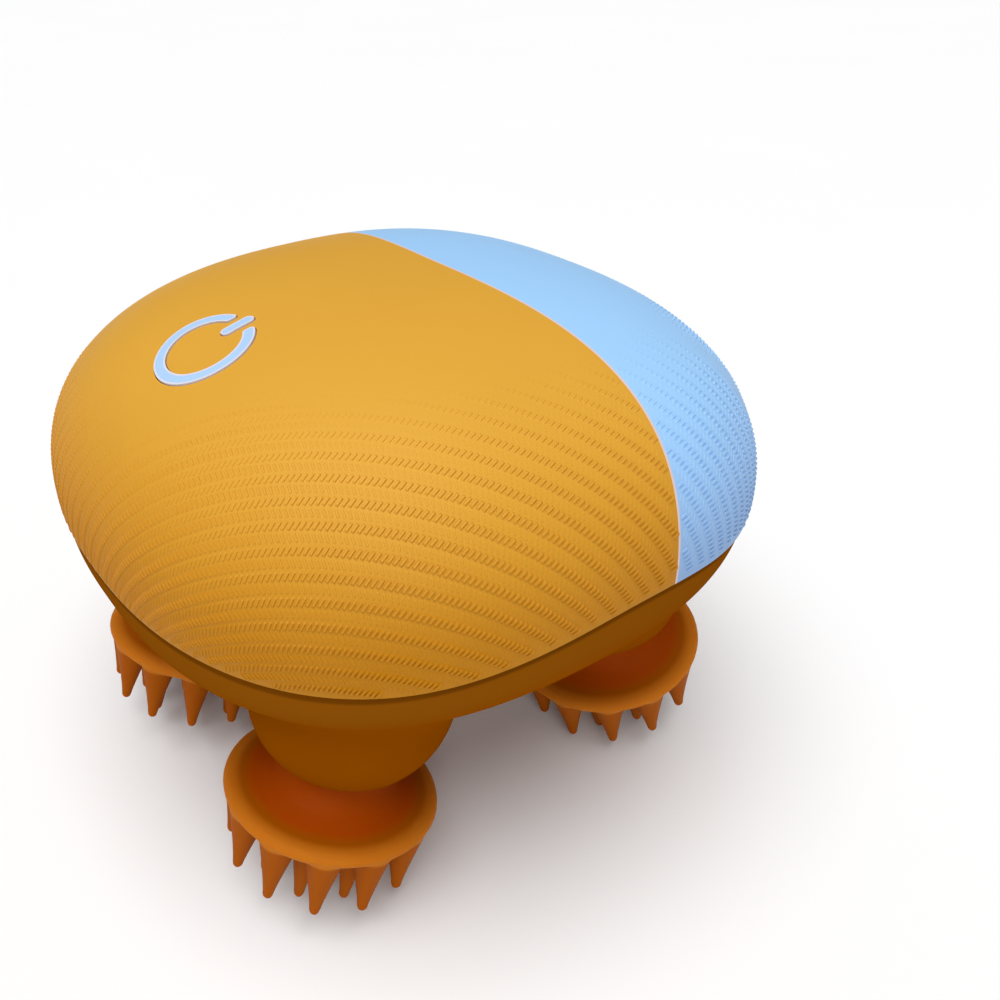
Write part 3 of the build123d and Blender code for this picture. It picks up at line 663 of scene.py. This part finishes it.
def dashTree():
    tree = bpy.data.node_groups.new("dashGrain", "GeometryNodeTree")
    addInputs(tree, (
        ("Geometry", "Geometry", None), ("Dash Length", "Float", 0.0012), ("Dash Width", "Float", 0.0004),
        ("Dash Height", "Float", 0.00012), ("Top Share", "Float", 0.46), ("Material", "Material", None)))
    tree.interface.new_socket("Geometry", in_out="OUTPUT", socket_type="NodeSocketGeometry")
    given = addNode(tree, "NodeGroupInput").outputs
    shape = addNode(tree, "GeometryNodeMeshCone", {"fill_type": "NGON"}, Vertices=4, Side_Segments=1,
                    Radius_Top=given["Top Share"], Radius_Bottom=0.70711, Depth=1.0)
    square = addNode(tree, "GeometryNodeTransform", Geometry=shape.outputs[0], Rotation=(0, 0, pi / 4))
    size = addNode(tree, "ShaderNodeCombineXYZ", i0=given["Dash Length"], i1=given["Dash Width"],
                   i2=given["Dash Height"])
    sized = addNode(tree, "GeometryNodeTransform", Geometry=square.outputs[0], Scale=size.outputs[0])
    along = addNode(tree, "GeometryNodeInputNamedAttribute", {"data_type": "FLOAT_VECTOR"}, Name="along")
    outward = addNode(tree, "GeometryNodeInputNamedAttribute", {"data_type": "FLOAT_VECTOR"}, Name="outward")
    strength = addNode(tree, "GeometryNodeInputNamedAttribute", {"data_type": "FLOAT"}, Name="strength")
    turn = addNode(tree, "FunctionNodeAxesToRotation", {"primary_axis": "Z", "secondary_axis": "X"},
                   Primary_Axis=outward.outputs[0], Secondary_Axis=along.outputs[0])
    flat = addNode(tree, "ShaderNodeMath", {"operation": "MULTIPLY_ADD"}, i0=strength.outputs[0],
                   i1=dashes["thinning"], i2=1 - dashes["thinning"])
    scale = addNode(tree, "ShaderNodeCombineXYZ", i0=flat.outputs[0], i1=flat.outputs[0],
                    i2=strength.outputs[0])
    spread = addNode(tree, "GeometryNodeInstanceOnPoints", Points=given["Geometry"], Instance=sized.outputs[0],
                     Rotation=turn.outputs[0], Scale=scale.outputs[0])
    real = addNode(tree, "GeometryNodeRealizeInstances", i0=spread.outputs[0])
    dressed = addNode(tree, "GeometryNodeSetMaterial", Geometry=real.outputs[0], Material=given["Material"])
    tree.links.new(dressed.outputs[0], addNode(tree, "NodeGroupOutput").inputs[0])
    return tree


def makeDashes(orangeFinish, blueFinish):
    d = dashes
    groups = {"orange": [], "blue": []}
    for spot, along, row, down, across, scale in dashSpots():
        gap = spot.x - dividerX(spot.y)
        fromKey = (Vector((spot.x, spot.y)) - Vector((powerKey["x"], 0))).length
        if abs(gap) < d["dividerGap"] or fromKey < d["keyGap"][0]:
            continue
        if spot.z < partingLevel(spot.x) + d["margin"]:
            continue
        side = across if spot.x + spot.y < 0 else -across
        fadeFrom = d["fade"] + d["fadeStart"] * ease(*d["fadeReach"], -side)
        fadeFrom += d["fadeEnd"] * ease(*d["fadeReach"], side)
        strength = ease(fadeFrom, fadeFrom + d["fadeSpan"], scale) * ease(*d["keyGap"], fromKey)
        strength *= ease(0, d["meeting"], down)
        first, last = d["forward"] if row % 2 else d["backward"]
        strength *= first + (last - first) * ease(*d["turnover"], side)
        if strength < d["least"]:
            continue
        outward = surfaceNormal(spot)
        upward = outward.cross(along).normalized()
        slant = radians(d["slant"]) * (1 if row % 2 else -1)
        direction = along * cos(slant) + upward * sin(slant)
        if gap > 0:
            strength *= d["blueShare"]
        half = "blue" if gap > 0 else "orange"
        groups[half].append((spot - outward * d["sunk"], direction, outward, strength))
    made = []
    for half, finish in (("orange", orangeFinish), ("blue", blueFinish)):
        points = groups[half]
        piece = newPiece(half + "CoverDashes", [p[0] for p in points], [])
        for name, column in (("along", 1), ("outward", 2)):
            layer = piece.data.attributes.new(name, "FLOAT_VECTOR", "POINT")
            layer.data.foreach_set("vector", [c for p in points for c in p[column]])
        layer = piece.data.attributes.new("strength", "FLOAT", "POINT")
        layer.data.foreach_set("value", [p[3] for p in points])
        runTree(piece, dashTree(), {
            "Dash Length": d["length"] * 0.001, "Dash Width": d["width"] * 0.001,
            "Dash Height": d["height"] * 0.001, "Top Share": d["topShare"], "Material": finish,
        })
        print(half, "dashes:", len(points))
        made.append(piece)
    return made


# shader maths as expressions
class Wire:
    def __init__(self, finish, socket):
        self.finish, self.socket = finish, socket

    def sum(self, how, *values):
        return self.finish.make("ShaderNodeMath", {"operation": how}, dict(enumerate(values)))

    def __add__(self, other):
        return self.sum("ADD", self, other)

    def __radd__(self, other):
        return self.sum("ADD", other, self)

    def __sub__(self, other):
        return self.sum("SUBTRACT", self, other)

    def __rsub__(self, other):
        return self.sum("SUBTRACT", other, self)

    def __mul__(self, other):
        return self.sum("MULTIPLY", self, other)

    def __rmul__(self, other):
        return self.sum("MULTIPLY", other, self)


class Finish:
    def __init__(self, name, fixed):
        self.material = bpy.data.materials.new(name)
        self.material.use_nodes = True
        self.tree = self.material.node_tree
        self.tree.nodes.clear()
        self.shader = self.tree.nodes.new("ShaderNodeBsdfPrincipled")
        output = self.tree.nodes.new("ShaderNodeOutputMaterial")
        self.tree.links.new(self.shader.outputs[0], output.inputs[0])
        for socket, value in fixed.items():
            self.shader.inputs[socket].default_value = value
        self.here = self.make("ShaderNodeTexCoord", out="Object")

    def make(self, kind, settings=None, values=None, out=0):
        node = self.tree.nodes.new(kind)
        for key, value in (settings or {}).items():
            setattr(node, key, value)
        for key, value in (values or {}).items():
            self.join(node.inputs[key], value)
        return Wire(self, node.outputs[out])

    def join(self, socket, value):
        if isinstance(value, Wire):
            self.tree.links.new(value.socket, socket)
        else:
            socket.default_value = value

    def feed(self, socket, value):
        self.join(self.shader.inputs[socket], value)

    def noise(self, scale, detail=3.0, rough=0.5, stretch=None):
        vector = self.here
        if stretch:
            vector = self.make("ShaderNodeMapping", {}, {"Vector": self.here, "Scale": stretch})
        return self.make("ShaderNodeTexNoise", {"noise_dimensions": "3D"},
                         {"Vector": vector, "Scale": scale, "Detail": detail, "Roughness": rough}, "Fac")

    def clamp(self, value, low, high):
        return self.make("ShaderNodeMapRange", {"interpolation_type": "SMOOTHSTEP"},
                         {"Value": value, "From Min": low, "From Max": high})

    def mix(self, amount, first, second):
        return self.make("ShaderNodeMix", {"data_type": "RGBA"}, {0: amount, 6: first, 7: second}, 2)

    def bump(self, height, distance, strength):
        return self.make("ShaderNodeBump", {}, {"Height": height, "Distance": distance, "Strength": strength})

    def axis(self, which):
        return self.make("ShaderNodeSeparateXYZ", {}, {0: self.here}, which)


def colour(r, g, b):
    def straight(c):
        c /= 255
        return c / 12.92 if c <= 0.04045 else ((c + 0.055) / 1.055) ** 2.4
    return straight(r), straight(g), straight(b), 1.0


coverToneAndShade = {"cloud": 0.15, "low": 0.8, "fleck": 0.05, "paintedShadeFrom": 0.088, "paintedShadeTo": 0.058}  # heights in metres; low darkens each cover towards its lower edge as painted shade, cloud and fleck are random tone


def coverFinish(name, main, shade, rough):
    f = Finish(name, {"IOR": 1.46, "Specular IOR Level": 0.12})
    cloud = f.noise(38, 4, 0.55)
    fleck = f.noise(2600, 2, 0.6)
    # painted shade: the colour goes towards the shade colour lower down the cover
    low = f.clamp(f.axis("Z"), coverToneAndShade["paintedShadeFrom"], coverToneAndShade["paintedShadeTo"])
    tone = cloud * coverToneAndShade["cloud"] + low * coverToneAndShade["low"] + fleck * coverToneAndShade["fleck"]
    f.feed("Base Color", f.mix(tone, main, shade))
    f.feed("Roughness", rough + fleck * 0.10 + cloud * 0.05)
    f.feed("Normal", f.bump(f.noise(1900, 2, 0.5), 0.00004, 0.35))
    return f.material


# metres below the parting line, and how much of the colour shows: a painted sheen on the band below the rim,
# and a painted shadow line just under the cover's edge
lowerSheenAndShadow = {"paintedSheen": (-0.011, -0.004), "paintedSheenShare": 0.7, "seam": (-0.0017, -0.0010), "seamShadowShare": 0.45}


def lowerFinish(name, main, shade, paintedSheen, seam, rough):
    f = Finish(name, {"IOR": 1.46, "Specular IOR Level": 0.0})
    cloud, fleck = f.noise(45, 4, 0.6), f.noise(3000, 2, 0.6)
    x, metre = f.axis("X"), 0.001
    turn = x * (2 * pi / (housing["wavePeriod"] * metre))
    swing = f.make("ShaderNodeMath", {"operation": "COSINE"}, {0: turn})
    rim = swing * (housing["waveSwing"] * metre) + x * housing["waveSlope"]
    rim = rim + (housing["partingZ"] + housing["waveMean"]) * metre
    # painted shadow: a dark line on the shell just under the cover's edge, where the cover's overhang casts
    # shade
    paintedShadowMask = f.clamp(f.axis("Z") - rim, *lowerSheenAndShadow["seam"])
    # painted sheen: a lighter, yellower band just below the rim in place of a soft highlight
    paintedSheenMask = f.clamp(f.axis("Z") - rim, *lowerSheenAndShadow["paintedSheen"])
    skin = f.mix(paintedSheenMask * lowerSheenAndShadow["paintedSheenShare"], f.mix(cloud * 0.7 + fleck * 0.15, main, shade), paintedSheen)
    f.feed("Base Color", f.mix(paintedShadowMask * lowerSheenAndShadow["seamShadowShare"], skin, seam))
    f.feed("Roughness", rough + fleck * 0.12)
    f.feed("Normal", f.bump(f.noise(2300, 2, 0.5), 0.00003, 0.4))
    return f.material


# one silicone shown in three colours: the dish colour is painted shade, the lip colour painted light
def siliconeFinish(name, dishShade, finger, lipLight, rough):
    f = Finish(name, {"IOR": 1.42, "Specular IOR Level": 0.05,
                      "Subsurface Weight": 0.2, "Subsurface Scale": 0.003})
    cloud, fleck = f.noise(90, 4, 0.6), f.noise(3600, 2, 0.6)
    tone = f.make("ShaderNodeAttribute", {"attribute_name": "tone"}, out=2)
    lower = f.mix(f.clamp(tone, 0.0, 0.5), dishShade, finger)
    skin = f.mix(f.clamp(tone, 0.5, 1.0), lower, lipLight)
    f.feed("Base Color", f.mix(cloud * 0.25 + fleck * 0.1, skin, dishShade))
    f.feed("Roughness", rough + cloud * 0.12 + fleck * 0.06)
    f.feed("Normal", f.bump(f.noise(1500, 3, 0.6), 0.00004, 0.35))
    return f.material


def plainFinish(name, main, shade, rough, grain=1400, metal=0.0, stretch=None, depth=0.00004,
                shine=0.5):
    f = Finish(name, {"IOR": 1.5, "Specular IOR Level": shine})
    cloud, fine = f.noise(120, 4, 0.6), f.noise(grain, 3, 0.6, stretch)
    f.feed("Base Color", f.mix(cloud * 0.6 + fine * 0.3, main, shade))
    f.feed("Roughness", rough + fine * 0.18)
    f.feed("Metallic", metal)
    f.feed("Normal", f.bump(fine, depth, 0.5))
    return f.material


def boardFinish(name):
    f = Finish(name, {"IOR": 1.5, "Specular IOR Level": 0.5})
    tracks = f.make("ShaderNodeTexBrick", {"offset": 0.5}, {
        "Vector": f.here, "Scale": 420.0, "Mortar Size": 0.08, "Mortar Smooth": 0.2}, "Fac")
    weave = f.noise(1500, 2, 0.5)
    base = f.mix(weave * 0.6, colour(12, 92, 44), colour(6, 64, 30))
    f.feed("Base Color", f.mix(tracks * 0.55, base, colour(70, 150, 84)))
    f.feed("Roughness", 0.32 + weave * 0.15)
    f.feed("Normal", f.bump(tracks, 0.00006, 0.5))
    return f.material


# the second colour of each cover is mostly painted shade, laid on towards its lower edge
orangeCoat = coverFinish("orangeCoverPlastic", colour(220, 165, 60), colour(182, 117, 0), 0.42)
blueCoat = coverFinish("blueCoverPlastic", colour(160, 208, 251), colour(140, 170, 212), 0.40)
linePale = plainFinish("dividerPale", colour(228, 200, 192), colour(214, 184, 176), 0.45)
keyPale = plainFinish("powerKeySilicone", colour(174, 209, 244), colour(166, 200, 240), 0.45)
borderPale = plainFinish("powerKeyBorder", colour(222, 220, 232), colour(212, 208, 222), 0.45)
# lower shell colours: main and random shade, then the painted sheen below the rim, then the painted shadow
# under the cover's edge
shellCoat = lowerFinish("lowerShellPlastic", colour(146, 77, 0), colour(130, 64, 0),
                        colour(136, 80, 12), colour(56, 24, 0), 0.42)
# the dish colour is painted shade and the lip colour painted light on the one silicone
headCoat = siliconeFinish("clawHeadSilicone", colour(168, 68, 0), colour(158, 82, 0),
                          colour(194, 116, 26), 0.46)
plugCoat = plainFinish("portPlugRubber", colour(136, 68, 4), colour(118, 56, 2), 0.55, shine=0.08)
acetal = plainFinish("innerAcetal", colour(226, 222, 208), colour(206, 200, 184), 0.38)
gearCoat = plainFinish("gearAcetal", colour(238, 236, 226), colour(222, 218, 204), 0.35)
steel = plainFinish("turnedSteel", colour(186, 188, 192), colour(150, 152, 158), 0.24,
                    900, 1.0, (1, 1, 14), 0.00002)
canSteel = plainFinish("platedCan", colour(200, 202, 206), colour(170, 172, 178), 0.22,
                       700, 1.0, (1, 1, 9), 0.00002)
bronze = plainFinish("sinteredBronze", colour(176, 126, 62), colour(138, 92, 42), 0.38,
                     2600, 1.0, None, 0.00006)
nitrile = plainFinish("sealNitrile", colour(34, 34, 36), colour(22, 22, 24), 0.6)
blackPlastic = plainFinish("switchPlastic", colour(40, 40, 44), colour(26, 26, 30), 0.45)
wrap = plainFinish("cellWrap", colour(52, 92, 160), colour(40, 72, 132), 0.3)
board = boardFinish("circuitBoard")
print("finishes made")

# the solids shown as they are
nodeFinish = {
    "top_shell": shellCoat, "shell_seal": nitrile, "leg_bushes": bronze, "shaft_seals": nitrile,
    "shell_screws": steel, "gearbox_screws": steel, "battery": wrap, "battery_holder": acetal,
    "charge_board": board, "charge_socket": canSteel, "switch_board": board, "tact_switch": blackPlastic,
    "switch_plunger": blackPlastic, "port_plug": plugCoat,
}
for side in sideSign:
    nodeFinish.update({
        side + "_gearbox_base": acetal, side + "_gearbox_lid": acetal, side + "_drive_gear": gearCoat,
        side + "_idler_gear": gearCoat, side + "_idler_pin": steel, side + "_motor_shaft": steel,
        side + "_gearhead": canSteel, side + "_motor": canSteel})
    for row in rowSign:
        corner = side + "_" + row
        nodeFinish.update({corner + "_head_core": acetal, corner + "_output_gear": gearCoat,
                           corner + "_output_shaft": steel})
for name, finish in nodeFinish.items():
    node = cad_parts[name]
    node.data.materials.clear()
    node.data.materials.append(finish)
print("inner pieces dressed:", len(nodeFinish))


def dress(piece, finish, body, *nodes):
    piece.data.materials.clear()
    piece.data.materials.append(finish)
    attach(piece, body)
    if nodes:
        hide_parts(*nodes)
    return piece


orangeCover, blueCover, dividerLine = makeCovers()
for piece, finish, node, slot in ((orangeCover, orangeCoat, "orange_cover", "orange_cover"),
                                  (blueCover, blueCoat, "blue_cover", "blue_cover"),
                                  (dividerLine, linePale, "divider_trim", "divider")):
    dress(crease(piece), finish, "housing", node)
print("covers made")

key, border = makeKey()
dress(crease(key), keyPale, "power_key", "power_key")
dress(crease(border), borderPale, "power_key")
print("key made")

shell = crease(makeLowerShell(), 38)
dress(shell, shellCoat, "housing", "lower_shell")
print("lower shell made:", len(shell.data.polygons), "faces")

master = makeClawHead(headCoat)
for (side, row), turn in clawHead["turns"].items():
    head = bpy.data.objects.new(side + row.capitalize() + "ClawHead", master.data.copy())
    bpy.context.scene.collection.objects.link(head)
    head.data.transform(legPlace(side, row) @ Matrix.Rotation(radians(turn), 4, "Z"))
    crease(head, 60)
    corner = side + "_" + row
    dress(head, headCoat, corner + "_head", corner + "_claw_head")
print("claw heads made:", len(master.data.polygons), "faces each")
discard(master)

for piece in makeDashes(orangeCoat, blueCoat):
    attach(piece, "housing")
print("dashes made")


# studio: pale paper, one very broad soft light from the upper left and a weak fill from the front
studio = {
    "paper": (0.93, 0.93, 0.93, 1), "paperShade": (0.91, 0.91, 0.91, 1), "paperReach": 9000,
    "sky": 0.13, "backdrop": 1.0,
    "lights": {"keyLight": ((-0.22, -0.12, 0.97), 2.75, 54), "fillLight": ((-0.44, -0.72, 0.48), 0.75, 30)},
}


def makeStudio():
    r = studio["paperReach"]
    floor = newPiece("studioFloor", [(-r, -r, 0), (r, -r, 0), (r, r, 0), (-r, r, 0)], [(0, 1, 2, 3)])
    paper = Finish("studioPaper", {"Roughness": 0.9, "Specular IOR Level": 0.1})
    paper.feed("Base Color", paper.mix(paper.noise(6, 2), studio["paper"], studio["paperShade"]))
    floor.data.materials.append(paper.material)
    for name, (source, strength, spread) in studio["lights"].items():
        data = bpy.data.lights.new(name, "SUN")
        data.energy, data.angle = strength, radians(spread)
        lamp = bpy.data.objects.new(name, data)
        bpy.context.scene.collection.objects.link(lamp)
        lamp.location = source
        lamp.rotation_euler = (-Vector(source)).to_track_quat("-Z", "Y").to_euler()
    world = bpy.data.worlds.new("studioWorld")
    bpy.context.scene.world = world
    world.use_nodes = True
    tree = world.node_tree
    sky = tree.nodes["Background"]
    sky.inputs["Color"].default_value, sky.inputs["Strength"].default_value = (1, 1, 1, 1), studio["sky"]
    seen = addNode(tree, "ShaderNodeBackground", Color=(1, 1, 1, 1), Strength=studio["backdrop"])
    direct = addNode(tree, "ShaderNodeLightPath").outputs["Is Camera Ray"]
    both = addNode(tree, "ShaderNodeMixShader", i0=direct, i1=sky.outputs[0], i2=seen.outputs[0])
    tree.links.new(both.outputs[0], tree.nodes["World Output"].inputs["Surface"])
    bpy.context.scene.view_settings.view_transform = "Standard"


makeStudio()
print("studio made")
